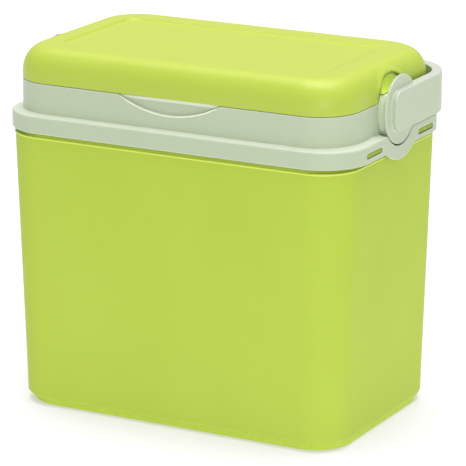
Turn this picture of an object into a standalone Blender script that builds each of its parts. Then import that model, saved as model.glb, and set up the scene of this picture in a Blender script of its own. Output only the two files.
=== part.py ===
"""Small passive cool box: insulated tub, lift-off lid and swinging carry handle.

Metres, +Z up. The origin is the middle of the base, on the surface it stands on.
The long side runs along X and the finger scallop is on the front, which faces -Y.
Every moulding is a stack of rounded rectangles, skinned from one to the next.
"""
import math

import bmesh
import bpy

# Outlines: half length along X, half depth along Y, corner radius.
BAND = (0.1423, 0.0863, 0.0332)          # upper band of the collar, and the lid above it
SKIRT = (0.1505, 0.0928, 0.0380)         # collar flange that hangs over the shell
SHELL_BASE = (0.1393, 0.0877, 0.0285)    # lime shell at the floor
SHELL_TOP = (0.1455, 0.0909, 0.0305)     # lime shell under the collar
SHELL_RIM = (0.1446, 0.0900, 0.0335)     # rim of the shell, hidden inside the flange
LINER_BASE = (0.1265, 0.0740, 0.0240)    # inside of the tub at its floor
LINER_TOP = (0.1325, 0.0765, 0.0255)     # inside of the tub at its mouth
LID_CROWN = (0.1275, 0.0715, 0.0255)     # flat top of the lid
LID_PANEL = (0.1150, 0.0555, 0.0090)     # sunk panel in the lid's top, halfway down its edge
FOOT = (0.1370, 0.0826, 0.0330)          # plinth foot under the shell

# Heights above the floor.
FOOT_TOP = 0.0043
SHELL_FLOOR = 0.0048
SHOULDER_Z = 0.2158
SHELL_RIM_Z = 0.2303
LINER_UNDER_Z = 0.0150
LINER_FLOOR_Z = 0.0170
SKIRT_BOTTOM_Z = 0.2196
LEDGE_OUTER_Z = 0.2305
LEDGE_INNER_Z = 0.2340
LEDGE_UNDER_Z = 0.2306
REBATE_Z = 0.2552
RIM_Z = 0.2574
LID_EDGE_Z = 0.2577
LID_CURVE_Z = 0.2625
LID_TOP_Z = 0.2831
PLUG_UNDER_Z = 0.2455

# Wall thicknesses and clearances.
GAP = 0.0003
SHELL_WALL = 0.0024
RIM_WALL = 0.0020
LINER_WALL = 0.0020
SKIRT_WALL = 0.0025
BAND_WALL = 0.0036
LID_WALL = 0.0024
PLUG_WALL = 0.0018
PLUG_CLEARANCE = 0.0015
EDGE_FILLET = 0.0060
FOOT_FILLET = 0.0045
PANEL_DEPTH = 0.0012
PANEL_SLOPE = 0.0025
ARCH_RIM_WIDTH = 0.0026
ARCH_RIM_RISE = 0.0008
ARCH_RIM_LOW_Z = 0.2660

# Handle and its pivots, one at each end of the box, on an axis along X.
PIVOT_Z = 0.2497
DISC_RADIUS = 0.0264
DISC_INNER_X = 0.1485
DISC_OUTER_X = 0.1503
ARM_INNER_X = 0.1465
ARM_OUTER_X = 0.1544
ARM_LOW_Z = 0.2349
ARM_HIGH_Z = 0.2657
ARM_END_Y = -0.0168
ARM_END_RADIUS = 0.0090
BAIL_CENTRE_X = 0.1093
BAIL_CENTRE_Y = 0.0531
BOSS_RADIUS = 0.0243
BOSS_TOP_Z = 0.2641
BOSS_OUTER_X = 0.1482
STUB_RADIUS = 0.0090
STUB_END_X = 0.1524
NOTCH_RADIUS = 0.0277
DIP_RADIUS = 0.0384
DIP_FILLET = 0.0060
POCKET_RADIUS = 0.0268
POCKET_FLOOR_X = 0.1387
LUG_RADIUS = 0.0250
LUG_ROOT_X = 0.1375
LUG_OUTER_X = 0.1455
LUG_LIP = 0.0006
LUG_COVE = 0.0095
RELIEF_RADIUS = 0.0261

# Snap windows in the collar flange, with a tab of the shell in each.
WINDOW_MIDDLE_Y = 0.0442
WINDOW_LENGTH = 0.0270
WINDOW_HEIGHT = 0.0044
WINDOW_Z = 0.2252
TAB_MARGIN = 0.0006
TAB_OUTER_X = 0.1496

# Finger scallop in the front of the band.
SCALLOP_HALF_CHORD = 0.0440
SCALLOP_DEPTH = 0.0125
SCALLOP_RECESS = 0.0022

CORNER_STEPS = 6
FILLET_STEPS = 3
CROWN_STEPS = 6
CIRCLE_STEPS = 40
FOOT_ANGLE = math.radians(15)             # how far the shell's lower fillet stops short of flat
SMOOTH_ANGLE = math.radians(35)
FAR = 0.2000                              # beyond every face of the box


# ---- outlines -------------------------------------------------------------------------

def grow(outline, amount):
    """The same outline moved outwards by amount, with concentric corners."""
    return tuple(value + amount for value in outline)


def blend(first, second, share):
    """An outline between two others: share 0 is the first, 1 the second."""
    return tuple(a + (b - a) * share for a, b in zip(first, second))


def liner_outline(z):
    """Inner face of the tapered liner at a height."""
    return blend(LINER_BASE, LINER_TOP, (z - LINER_FLOOR_Z) / (RIM_Z - LINER_FLOOR_Z))


def ring_points(outline, z):
    """Points of a rounded rectangle, counter-clockwise from above."""
    half_x, half_y, radius = outline
    points = []
    for sign_x, sign_y, start in ((1, 1, 0), (-1, 1, 90), (-1, -1, 180), (1, -1, 270)):
        for step in range(CORNER_STEPS + 1):
            angle = math.radians(start + 90 * step / CORNER_STEPS)
            x = sign_x * (half_x - radius) + radius * math.cos(angle)
            y = sign_y * (half_y - radius) + radius * math.sin(angle)
            points.append((x, y, z))
    return points


def arc(centre, radius, start, end, steps):
    """Points on an arc in a plane, with angles in degrees."""
    points = []
    for step in range(steps + 1):
        angle = math.radians(start + (end - start) * step / steps)
        points.append((centre[0] + radius * math.cos(angle), centre[1] + radius * math.sin(angle)))
    return points


def circle(radius, centre=(0.0, PIVOT_Z)):
    """A full circle, by default round the handle's pivot."""
    return arc(centre, radius, 0, 360, CIRCLE_STEPS)[:-1]


def flat_topped_circle(radius, top_z):
    """A circle round the pivot with everything above top_z cut off."""
    start = math.degrees(math.asin((top_z - PIVOT_Z) / radius))
    return arc((0.0, PIVOT_Z), radius, 180 - start, 360 + start, CIRCLE_STEPS)


def slot(middle, length, height):
    """A slot with round ends, lying along the first axis."""
    radius = height / 2
    reach = length / 2 - radius
    right = arc((middle[0] + reach, middle[1]), radius, -90, 90, FILLET_STEPS * 2)
    left = arc((middle[0] - reach, middle[1]), radius, 90, 270, FILLET_STEPS * 2)
    return right + left


# ---- levels of a tub's corner fillets -------------------------------------------------

def fillet_up(outline, bottom_z, radius, start=0.0):
    """Levels from under a floor up its rounded edge to the wall."""
    levels = []
    for step in range(FILLET_STEPS + 1):
        angle = math.radians(start + (90 - start) * step / FILLET_STEPS)
        inset = radius * (1 - math.sin(angle))
        levels.append((grow(outline, -inset), bottom_z + radius * (1 - math.cos(angle))))
    return levels


def fillet_down(outline, bottom_z, radius):
    """Levels from a wall down its rounded edge to the floor."""
    return list(reversed(fillet_up(outline, bottom_z, radius)))


def crown(outer, top_outline, low_z, top_z):
    """Levels up the quarter-ellipse edge of the lid."""
    levels = []
    for step in range(1, CROWN_STEPS + 1):
        angle = math.pi / 2 * step / CROWN_STEPS
        share = 1 - math.cos(angle)
        levels.append((blend(outer, top_outline, share), low_z + (top_z - low_z) * math.sin(angle)))
    return levels


# ---- solids ---------------------------------------------------------------------------

def mesh_object(name, mesh_builder, material=None):
    """Finish a bmesh as a smooth-shaded object in the scene."""
    bmesh.ops.recalc_face_normals(mesh_builder, faces=mesh_builder.faces)
    mesh = bpy.data.meshes.new(name)
    mesh_builder.to_mesh(mesh)
    mesh_builder.free()
    mesh.shade_smooth()
    mesh.set_sharp_from_angle(angle=SMOOTH_ANGLE)
    if material is not None:
        mesh.materials.append(material)
    piece = bpy.data.objects.new(name, mesh)
    bpy.context.collection.objects.link(piece)
    return piece


def skin(name, levels, material=None, ring=False):
    """Skin rounded rectangles in order. A ring closes on itself, the rest get end caps."""
    builder = bmesh.new()
    rings = [[builder.verts.new(point) for point in ring_points(*level)] for level in levels]
    count = len(rings[0])
    pairs = list(zip(rings, rings[1:]))
    if ring:
        pairs.append((rings[-1], rings[0]))
    for lower, upper in pairs:
        for index in range(count):
            after = (index + 1) % count
            builder.faces.new((lower[index], lower[after], upper[after], upper[index]))
    if not ring:
        builder.faces.new(rings[0])
        builder.faces.new(rings[-1])
    return mesh_object(name, builder, material)


def prism(name, outline, axis, start, end, material=None):
    """Extrude a plane outline along X (outline in Y, Z), Y (in X, Z) or Z (in X, Y)."""
    builder = bmesh.new()

    def place(point, along):
        first, second = point
        if axis == "X":
            return (along, first, second)
        if axis == "Y":
            return (first, along, second)
        return (first, second, along)

    near = [builder.verts.new(place(point, start)) for point in outline]
    far = [builder.verts.new(place(point, end)) for point in outline]
    count = len(outline)
    for index in range(count):
        after = (index + 1) % count
        builder.faces.new((near[index], near[after], far[after], far[index]))
    builder.faces.new(near)
    builder.faces.new(far)
    return mesh_object(name, builder, material)


def tool(piece):
    """Mark an object as a shape that only cuts or is merged into another."""
    piece.hide_render = True
    piece.display_type = "WIRE"
    return piece


def combine(target, other, operation):
    """Add an exact Boolean to target."""
    modifier = target.modifiers.new(f"{operation.lower()} {other.name}", "BOOLEAN")
    modifier.solver = "EXACT"
    modifier.operation = operation
    modifier.object = other


def end_prisms(name, outline, start_x, end_x):
    """The same prism at the right end and, mirrored, at the left end."""
    return [
        tool(prism(f"{name}_{side}", outline, "X", sign * start_x, sign * end_x))
        for side, sign in (("right", 1), ("left", -1))
    ]


def combine_all(target, others, operation):
    for other in others:
        combine(target, other, operation)


def plastic(name, colour, roughness):
    """A moulded plastic."""
    material = bpy.data.materials.new(name)
    material.use_nodes = True
    shader = material.node_tree.nodes["Principled BSDF"]
    shader.inputs["Base Color"].default_value = (*colour, 1.0)
    shader.inputs["Roughness"].default_value = roughness
    shader.inputs["Metallic"].default_value = 0.0
    return material


# ---- body -----------------------------------------------------------------------------

def outer_shell(material, boss_clearance):
    """Lime bucket: plinth foot, tapered wall, shoulder, and a rim hidden in the collar."""
    rim_inner = grow(SHELL_RIM, -RIM_WALL)
    inner_base = grow(SHELL_BASE, -SHELL_WALL)
    levels = [(FOOT, 0.0), (FOOT, FOOT_TOP)]
    start = 1 - math.sin(FOOT_ANGLE)
    for step in range(1, FILLET_STEPS + 1):
        angle = FOOT_ANGLE + (math.pi / 2 - FOOT_ANGLE) * step / FILLET_STEPS
        outline = blend(SHELL_BASE, FOOT, (1 - math.sin(angle)) / start)
        levels.append((outline, FOOT_TOP + FOOT_FILLET * (math.cos(FOOT_ANGLE) - math.cos(angle))))
    levels += [
        (SHELL_TOP, SHOULDER_Z),
        (blend(SHELL_TOP, SHELL_RIM, 0.33), SHOULDER_Z + 0.0008),
        (SHELL_RIM, SHOULDER_Z + 0.0014),
        (SHELL_RIM, SHELL_RIM_Z),
        (rim_inner, SHELL_RIM_Z),
        (rim_inner, SHOULDER_Z + 0.0022),
        (grow(SHELL_TOP, -SHELL_WALL), SHOULDER_Z - 0.0008),
    ]
    levels += fillet_down(inner_base, SHELL_FLOOR, EDGE_FILLET)
    shell = skin("outer_shell", levels, material)
    combine_all(shell, boss_clearance, "DIFFERENCE")
    tab = slot((0, WINDOW_Z), WINDOW_LENGTH - 2 * TAB_MARGIN, WINDOW_HEIGHT - 2 * TAB_MARGIN)
    for row, offset in (("rear", WINDOW_MIDDLE_Y), ("front", -WINDOW_MIDDLE_Y)):
        outline = [(y + offset, z) for y, z in tab]
        combine_all(shell, end_prisms(f"tab_{row}", outline, 0.1436, TAB_OUTER_X), "UNION")
    return shell


def body_insulation(material, boss_clearance):
    """Foam tub that fills the space between shell and liner."""
    outer_base = grow(SHELL_BASE, -(SHELL_WALL + GAP))
    outer_top = grow(SHELL_RIM, -(RIM_WALL + 2 * GAP))
    neck = grow(BAND, -(BAND_WALL + GAP))
    step_z = SHELL_RIM_Z - 0.0001
    neck_top_z = 0.2520
    inner_base = grow(LINER_BASE, LINER_WALL + GAP)
    levels = fillet_up(outer_base, SHELL_FLOOR + GAP, EDGE_FILLET)
    levels += [
        (grow(SHELL_TOP, -(SHELL_WALL + 2 * GAP)), SHOULDER_Z - 0.0012),
        (outer_top, SHOULDER_Z + 0.0010),
        (outer_top, step_z),
        (neck, step_z),
        (neck, neck_top_z),
        (grow(liner_outline(neck_top_z), LINER_WALL + GAP), neck_top_z),
    ]
    levels += fillet_down(inner_base, LINER_UNDER_Z - GAP, EDGE_FILLET)
    foam = skin("body_insulation", levels, material)
    combine_all(foam, boss_clearance, "DIFFERENCE")
    return foam


def inner_liner(material):
    """Pale tub whose flange sits in the collar's rebate."""
    flange = grow(BAND, -(0.0030 + GAP))
    flange_under_z = REBATE_Z + GAP
    flange_top_z = RIM_Z - GAP
    levels = fillet_up(grow(LINER_BASE, LINER_WALL), LINER_UNDER_Z, EDGE_FILLET)
    levels += [
        (grow(liner_outline(flange_under_z), LINER_WALL), flange_under_z),
        (flange, flange_under_z),
        (flange, flange_top_z),
        (grow(LINER_TOP, 0.0008), flange_top_z),
        (liner_outline(flange_top_z - 0.0008), flange_top_z - 0.0008),
    ]
    levels += fillet_down(LINER_BASE, LINER_FLOOR_Z, EDGE_FILLET)
    return skin("inner_liner", levels, material)


# ---- collar ---------------------------------------------------------------------------

def skirt_trim():
    """Everything below the flange's lower edge, which dips round each pivot."""
    drop = PIVOT_Z - SKIRT_BOTTOM_Z
    fillet_y = math.sqrt((DIP_RADIUS + DIP_FILLET) ** 2 - (drop + DIP_FILLET) ** 2)
    reach = math.degrees(math.atan2(fillet_y, drop + DIP_FILLET))
    fillet_z = SKIRT_BOTTOM_Z - DIP_FILLET
    right = arc((fillet_y, fillet_z), DIP_FILLET, 90, 90 + reach, FILLET_STEPS)
    middle = arc((0.0, PIVOT_Z), DIP_RADIUS, -90 + reach, -90 - reach, CIRCLE_STEPS // 2)
    left = arc((-fillet_y, fillet_z), DIP_FILLET, 90 - reach, 90, FILLET_STEPS)
    low_z = 0.1920
    outline = [(-FAR, low_z), (FAR, low_z), (FAR, SKIRT_BOTTOM_Z)] + right + middle[1:-1] + left
    outline.append((-FAR, SKIRT_BOTTOM_Z))
    return tool(prism("skirt_trim", outline, "X", -FAR, FAR))


def scallop():
    """Shallow thumb recess under the lid's front edge."""
    radius = (SCALLOP_HALF_CHORD ** 2 + SCALLOP_DEPTH ** 2) / (2 * SCALLOP_DEPTH)
    centre = (0.0, RIM_Z - SCALLOP_DEPTH + radius)
    reach = math.degrees(math.asin(SCALLOP_HALF_CHORD * 1.1 / radius))
    outline = arc(centre, radius, -90 - reach, -90 + reach, CIRCLE_STEPS // 2)
    return tool(prism("scallop", outline, "Y", -BAND[1] + SCALLOP_RECESS, -FAR))


def collar(material):
    """Sage ring: flange over the shell, ledge, upper band, rim, and two pivot bosses."""
    skirt_inner = grow(SKIRT, -SKIRT_WALL)
    band_inner = grow(BAND, -BAND_WALL)
    rebate_outer = grow(BAND, -0.0030)
    rebate_inner = grow(LINER_TOP, LINER_WALL + 0.0005)
    skirt_low_z = 0.2070
    rebate_under_z = 0.2524
    levels = [
        (skirt_inner, skirt_low_z),
        (SKIRT, skirt_low_z),
        (SKIRT, LEDGE_OUTER_Z),
        (grow(SKIRT, -0.0006), LEDGE_OUTER_Z + 0.0015),
        (grow(SKIRT, -0.0022), LEDGE_OUTER_Z + 0.0023),
        (grow(BAND, 0.0010), LEDGE_INNER_Z),
        (BAND, LEDGE_INNER_Z + 0.0010),
        (BAND, RIM_Z - 0.0006),
        (grow(BAND, -0.0006), RIM_Z),
        (rebate_outer, RIM_Z),
        (rebate_outer, REBATE_Z),
        (rebate_inner, REBATE_Z),
        (rebate_inner, rebate_under_z),
        (band_inner, rebate_under_z),
        (band_inner, LEDGE_UNDER_Z),
        (skirt_inner, LEDGE_UNDER_Z),
    ]
    ring = skin("collar", levels, material, ring=True)
    combine(ring, skirt_trim(), "DIFFERENCE")
    notch = end_prisms("notch", circle(NOTCH_RADIUS), BAND[0] + 0.0006, FAR)
    combine_all(ring, notch, "DIFFERENCE")
    combine(ring, scallop(), "DIFFERENCE")
    window = slot((0, WINDOW_Z), WINDOW_LENGTH, WINDOW_HEIGHT)
    for row, offset in (("rear", WINDOW_MIDDLE_Y), ("front", -WINDOW_MIDDLE_Y)):
        outline = [(y + offset, z) for y, z in window]
        cutters = end_prisms(f"window_{row}", outline, BAND[0] + 0.0042, FAR)
        combine_all(ring, cutters, "DIFFERENCE")
    boss = flat_topped_circle(BOSS_RADIUS, BOSS_TOP_Z)
    combine_all(ring, end_prisms("boss", boss, BAND[0] - 0.0013, BOSS_OUTER_X), "UNION")
    core = flat_topped_circle(BOSS_RADIUS - BAND_WALL, rebate_under_z - 0.0006)
    core_x = BAND[0] - BAND_WALL - 0.0004
    combine_all(ring, end_prisms("boss_core", core, core_x, BOSS_OUTER_X - 0.0024), "DIFFERENCE")
    stub = circle(STUB_RADIUS)
    combine_all(ring, end_prisms("stub", stub, BOSS_OUTER_X - 0.0012, STUB_END_X), "UNION")
    return ring


# ---- lid ------------------------------------------------------------------------------

def arch_rims():
    """Raised rim over each pocket, following the crown. The pockets are cut through it later."""
    outline = circle(POCKET_RADIUS + ARCH_RIM_WIDTH)
    outer = grow(BAND, ARCH_RIM_RISE)
    outer_top = grow(LID_CROWN, ARCH_RIM_RISE)
    rims = end_prisms("arch_rim", outline, POCKET_FLOOR_X, FAR)
    for rim in rims:
        levels = [(outer, LID_CURVE_Z)] + crown(outer, outer_top, LID_CURVE_Z, LID_TOP_Z)
        combine(rim, tool(skin(f"{rim.name}_crown", levels)), "INTERSECT")
        below = [(-FAR, ARCH_RIM_LOW_Z), (FAR, ARCH_RIM_LOW_Z), (FAR, 0.0), (-FAR, 0.0)]
        combine(rim, tool(prism(f"{rim.name}_below", below, "X", -FAR, FAR)), "DIFFERENCE")
    return rims


def lugs():
    """The lid's lug over each boss, hollowed on top by a cove that runs up to the pocket."""
    outlines = []
    low_z = BOSS_TOP_Z + GAP
    lip_z = low_z + LUG_LIP
    cove_reach = LUG_OUTER_X - POCKET_FLOOR_X
    cove = [
        (LUG_OUTER_X - cove_reach * x, lip_z + LUG_COVE * (1 - z))
        for x, z in arc((0.0, 0.0), 1.0, 0, 90, FILLET_STEPS * 2)
    ]
    for sign in (1, -1):
        points = [(LUG_ROOT_X, low_z), (LUG_ROOT_X, lip_z + LUG_COVE)] + cove + [(LUG_OUTER_X, low_z)]
        outlines.append([(sign * x, z) for x, z in points])
    pieces = []
    rounds = end_prisms("lug_round", circle(LUG_RADIUS), LUG_ROOT_X - GAP, FAR)
    for side, outline, rounded in zip(("right", "left"), outlines, rounds):
        lug = tool(prism(f"lug_{side}", outline, "Y", -LUG_RADIUS, LUG_RADIUS))
        combine(lug, rounded, "INTERSECT")
        pieces.append(lug)
    return pieces


def lid_cover(material, pocket_wall):
    """Lime cap with a crowned edge, a sunk top panel and a pocket for each pivot."""
    outer = [(grow(BAND, -0.0003), LID_EDGE_Z), (BAND, LID_EDGE_Z + 0.0003), (BAND, LID_CURVE_Z)]
    outer += crown(BAND, LID_CROWN, LID_CURVE_Z, LID_TOP_Z)
    outer += [
        (grow(LID_PANEL, PANEL_SLOPE), LID_TOP_Z),
        (grow(LID_PANEL, -PANEL_SLOPE), LID_TOP_Z - PANEL_DEPTH),
    ]
    cover = skin("lid_cover", outer, material)
    combine_all(cover, arch_rims(), "UNION")

    inner = grow(BAND, -LID_WALL)
    inner_top = grow(LID_CROWN, -0.0008)
    cavity_levels = [(inner, LID_EDGE_Z - 0.0060), (inner, LID_CURVE_Z)]
    cavity_levels += crown(inner, inner_top, LID_CURVE_Z, LID_TOP_Z - PANEL_DEPTH - 0.0018)
    cavity = tool(skin("lid_cavity", cavity_levels))
    combine_all(cavity, pocket_wall, "DIFFERENCE")
    combine(cover, cavity, "DIFFERENCE")
    pockets = end_prisms("pocket", circle(POCKET_RADIUS), POCKET_FLOOR_X, FAR)
    combine_all(cover, pockets, "DIFFERENCE")
    combine_all(cover, lugs(), "UNION")
    return cover


def plug_outline():
    """Outer face of the lid's plug, which drops into the tub's mouth."""
    return grow(LINER_TOP, -PLUG_CLEARANCE)


def lid_inner_panel(material, pocket_clearance):
    """Pale pan that closes the lid from below and plugs the tub's mouth."""
    plug = plug_outline()
    plug_inner = grow(plug, -PLUG_WALL)
    flange = grow(BAND, -(LID_WALL + GAP))
    flange_under_z = LID_EDGE_Z + GAP
    flange_top_z = flange_under_z + 0.0016
    levels = fillet_up(plug, PLUG_UNDER_Z, 0.0040)
    levels += [
        (plug, flange_under_z),
        (flange, flange_under_z),
        (flange, flange_top_z),
        (plug_inner, flange_top_z),
    ]
    levels += fillet_down(plug_inner, PLUG_UNDER_Z + PLUG_WALL, 0.0030)
    pan = skin("lid_inner_panel", levels, material)
    combine_all(pan, pocket_clearance, "DIFFERENCE")
    return pan


def lid_insulation(material, pocket_clearance):
    """Foam core between the lid's cover and its pan."""
    plug = grow(plug_outline(), -(PLUG_WALL + GAP))
    wide = grow(BAND, -(LID_WALL + GAP))
    step_z = LID_EDGE_Z + GAP + 0.0016 + GAP
    crown_top = grow(LID_CROWN, -0.0012)
    levels = fillet_up(plug, PLUG_UNDER_Z + PLUG_WALL + GAP, 0.0030)
    levels += [(plug, step_z), (wide, step_z), (wide, LID_CURVE_Z)]
    levels += crown(wide, crown_top, LID_CURVE_Z, LID_TOP_Z - PANEL_DEPTH - 0.0022)
    foam = skin("lid_insulation", levels, material)
    combine_all(foam, pocket_clearance, "DIFFERENCE")
    return foam


# ---- handle ---------------------------------------------------------------------------

def bail_path(side_x, rear_radius):
    """One face of the bail seen from above, from the left arm's end to the right arm's."""
    left = arc((-BAIL_CENTRE_X, BAIL_CENTRE_Y), rear_radius, 180, 90, CORNER_STEPS * 2)
    right = arc((BAIL_CENTRE_X, BAIL_CENTRE_Y), rear_radius, 90, 0, CORNER_STEPS * 2)
    return [(-side_x, ARM_END_Y)] + left + right + [(side_x, ARM_END_Y)]


def arm_ends():
    """Keeps only what is behind the arms' rounded front ends."""
    centre_y = ARM_END_Y + ARM_END_RADIUS
    upper = (centre_y, ARM_HIGH_Z - ARM_END_RADIUS)
    lower = (centre_y, ARM_LOW_Z + ARM_END_RADIUS)
    outline = [(FAR, ARM_LOW_Z), (FAR, ARM_HIGH_Z)]
    outline += arc(upper, ARM_END_RADIUS, 90, 180, FILLET_STEPS * 2)
    outline += arc(lower, ARM_END_RADIUS, 180, 270, FILLET_STEPS * 2)
    return tool(prism("arm_ends", outline, "X", -FAR, FAR))


def carry_handle(material):
    """Sage bail with a disc on each end that turns on the collar's stub."""
    outer_radius = ARM_OUTER_X - BAIL_CENTRE_X
    inner_radius = ARM_INNER_X - BAIL_CENTRE_X
    outline = bail_path(ARM_OUTER_X, outer_radius)
    outline += reversed(bail_path(ARM_INNER_X, inner_radius))
    margin = 0.0010
    low = ARM_LOW_Z - margin
    bail = prism("carry_handle", outline, "Z", low, ARM_HIGH_Z + margin, material)
    combine(bail, arm_ends(), "INTERSECT")
    combine_all(bail, end_prisms("disc", circle(DISC_RADIUS), DISC_INNER_X, DISC_OUTER_X), "UNION")
    relief = end_prisms("relief", circle(RELIEF_RADIUS), BAND[0], DISC_INNER_X)
    combine_all(bail, relief, "DIFFERENCE")
    bore = circle(STUB_RADIUS + GAP)
    combine_all(bail, end_prisms("bore", bore, BAND[0], STUB_END_X + GAP), "DIFFERENCE")
    pivot = bpy.data.objects.new("handle_pivot", None)
    pivot.location = (0.0, 0.0, PIVOT_Z)
    bpy.context.collection.objects.link(pivot)
    bail.parent = pivot
    bail.matrix_parent_inverse.translation = (0.0, 0.0, -PIVOT_Z)
    return bail


# ---- assembly -------------------------------------------------------------------------

def clear_scene():
    for item in list(bpy.data.objects):
        bpy.data.objects.remove(item, do_unlink=True)


def build():
    clear_scene()
    boss_clearance = end_prisms("boss_clearance", circle(BOSS_RADIUS + 0.0007), 0.1405, FAR)
    pocket_wall = end_prisms(
        "pocket_wall", circle(POCKET_RADIUS + LID_WALL), POCKET_FLOOR_X - LID_WALL, FAR)
    pocket_clearance = end_prisms(
        "pocket_clearance", circle(POCKET_RADIUS + LID_WALL + GAP),
        POCKET_FLOOR_X - LID_WALL - GAP, FAR)
    outer_shell(plastic("lime_shell", (0.48, 0.64, 0.08), 0.38), boss_clearance)
    body_insulation(plastic("body_foam", (0.92, 0.92, 0.90), 0.85), boss_clearance)
    inner_liner(plastic("pale_liner", (0.86, 0.88, 0.84), 0.40))
    collar(plastic("sage_collar", (0.52, 0.60, 0.44), 0.40))
    lid_cover(plastic("lime_lid", (0.55, 0.70, 0.12), 0.36), pocket_wall)
    lid_insulation(plastic("lid_foam", (0.92, 0.92, 0.90), 0.85), pocket_clearance)
    lid_inner_panel(plastic("pale_lid_pan", (0.86, 0.88, 0.84), 0.40), pocket_clearance)
    carry_handle(plastic("sage_handle", (0.58, 0.66, 0.50), 0.38))


build()
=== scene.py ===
"""Looks of the small cool box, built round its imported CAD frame.

Metres, +Z up, front -Y. Fine mouldings stand for the plain CAD solids: each is skinned
from rounded rectangles, cut where the real moulding is cut, and softened on its edges.
"""
import math

import bmesh
import bpy
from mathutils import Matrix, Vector


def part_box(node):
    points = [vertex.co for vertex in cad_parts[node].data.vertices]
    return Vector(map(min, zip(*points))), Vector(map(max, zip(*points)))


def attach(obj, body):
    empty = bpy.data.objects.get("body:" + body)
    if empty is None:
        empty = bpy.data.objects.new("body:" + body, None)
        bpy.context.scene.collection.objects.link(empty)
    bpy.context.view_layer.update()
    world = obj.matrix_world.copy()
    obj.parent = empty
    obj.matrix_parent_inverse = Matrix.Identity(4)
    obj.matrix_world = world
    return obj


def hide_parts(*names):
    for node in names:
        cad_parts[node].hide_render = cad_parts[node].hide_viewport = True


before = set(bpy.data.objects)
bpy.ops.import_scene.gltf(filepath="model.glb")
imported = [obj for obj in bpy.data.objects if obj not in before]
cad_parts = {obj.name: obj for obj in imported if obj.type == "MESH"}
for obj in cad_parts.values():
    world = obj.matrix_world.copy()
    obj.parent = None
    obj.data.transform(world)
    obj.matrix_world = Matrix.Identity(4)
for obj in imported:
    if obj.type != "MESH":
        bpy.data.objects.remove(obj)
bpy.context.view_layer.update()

MM = 0.001


def grow(outline, amount):
    """The same outline moved outwards, with concentric corners."""
    return tuple(value + amount for value in outline)


# ---- sizes read from the frame --------------------------------------------------------

lid_low, lid_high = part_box("lid_cover")
collar_low, collar_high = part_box("collar")
shell_low, shell_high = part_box("outer_shell")
liner_low, liner_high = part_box("inner_liner")
pan_low, pan_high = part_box("lid_inner_panel")
handle_low, handle_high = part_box("carry_handle")

FIT_GAP = 0.3 * MM       # between mouldings that meet
PAN_INSET = 2.7 * MM     # from the lid's face in to the pan's edge

PIVOT_Z = (handle_low.z + handle_high.z) / 2
LID_EDGE = (pan_high.x + PAN_INSET, pan_high.y + PAN_INSET)
DISC_RADIUS = (handle_high.z - handle_low.z) / 2
RIM_Z = lid_low.z - FIT_GAP
FLOOR_Z = shell_low.z

# ---- outlines: half length along X, half depth along Y, corner radius -----------------

BAND = (*LID_EDGE, 33.2 * MM)
SKIRT = (LID_EDGE[0] + 8.2 * MM, collar_high.y, 38.0 * MM)
SHELL_TOP = (LID_EDGE[0] + 3.2 * MM, shell_high.y, 30.5 * MM)
SHELL_RIM = (SHELL_TOP[0] - 0.9 * MM, SHELL_TOP[1] - 0.9 * MM, 33.5 * MM)
SHELL_BASE = (SHELL_TOP[0] - 6.2 * MM, SHELL_TOP[1] - 3.2 * MM, 28.5 * MM)
FOOT = (SHELL_BASE[0] - 2.3 * MM, SHELL_BASE[1] - 5.1 * MM, 30.5 * MM)
LINER_FLANGE = grow(BAND, -3.3 * MM)
LINER_TOP = (BAND[0] - 9.8 * MM, BAND[1] - 9.8 * MM, 25.5 * MM)
LINER_BASE = (LINER_TOP[0] - 6.0 * MM, LINER_TOP[1] - 2.5 * MM, 24.0 * MM)
LID_CROWN = (BAND[0] - 14.8 * MM, BAND[1] - 14.8 * MM, 25.5 * MM)
LID_PANEL = (BAND[0] - 27.3 * MM, BAND[1] - 30.8 * MM, 9.0 * MM)

# ---- heights --------------------------------------------------------------------------

SHOULDER_Z = shell_high.z - 14.5 * MM
SHOULDER_UPRIGHT_Z = SHOULDER_Z - 6 * MM
SHOULDER_EDGE_Z = SHOULDER_Z + 0.4 * MM
SHOULDER_BREAK_Z = SHOULDER_Z + 0.9 * MM
SHELL_RIM_ROOT_Z = SHOULDER_Z + 1.4 * MM
SHELL_RIM_INNER_Z = SHOULDER_Z + 2.2 * MM
SHELL_WALL_TOP_Z = SHOULDER_Z - 0.8 * MM
SHELL_INNER_FLOOR_Z = FLOOR_Z + 4.8 * MM
SKIRT_BOTTOM_Z = RIM_Z - 37.8 * MM
SKIRT_BUILD_Z = SKIRT_BOTTOM_Z - 14 * MM
LEDGE_OUTER_Z = RIM_Z - 24.6 * MM
LEDGE_INNER_Z = RIM_Z - 23.2 * MM
LEDGE_UNDER_Z = LEDGE_OUTER_Z - 2.2 * MM
REBATE_Z = RIM_Z - 2.2 * MM
RIM_UNDER_Z = RIM_Z - 5.0 * MM
LID_CURVE_Z = lid_low.z + 4.8 * MM
LID_TOP_Z = lid_high.z
BOSS_TOP_Z = collar_high.z

# ---- walls and edges ------------------------------------------------------------------

SHELL_WALL = 2.4 * MM
SHELL_RIM_WALL = 2.0 * MM
LINER_WALL = 2.0 * MM
LID_WALL = 2.4 * MM
LID_TOP_WALL = 1.8 * MM
SKIRT_WALL = 2.5 * MM
BAND_WALL = 3.6 * MM
PLUG_WALL = 1.8 * MM
RIM_WIDTH = 3.0 * MM         # of the collar's rim, from the band's face to the rebate
RIM_LIP_GAP = 0.5 * MM       # between the collar's inner lip and the liner
FLANGE_HEIGHT = 1.6 * MM     # of the liner's flange and the pan's
EDGE_FILLET = 6.0 * MM       # lower inside edges of shell and liner
MOULD_EDGE = 0.6 * MM        # softened edges of lid, bosses and stubs
COLLAR_EDGE = 0.45 * MM      # softened cuts in the collar
SKIRT_EDGE = 1.9 * MM        # rounded outer edge of the ledge
LEDGE_FILLET = 0.8 * MM
RIM_EDGE = 0.6 * MM
TAB_EDGE = 0.4 * MM
LUG_EDGE = 0.25 * MM
HANDLE_EDGE = 0.65 * MM

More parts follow.
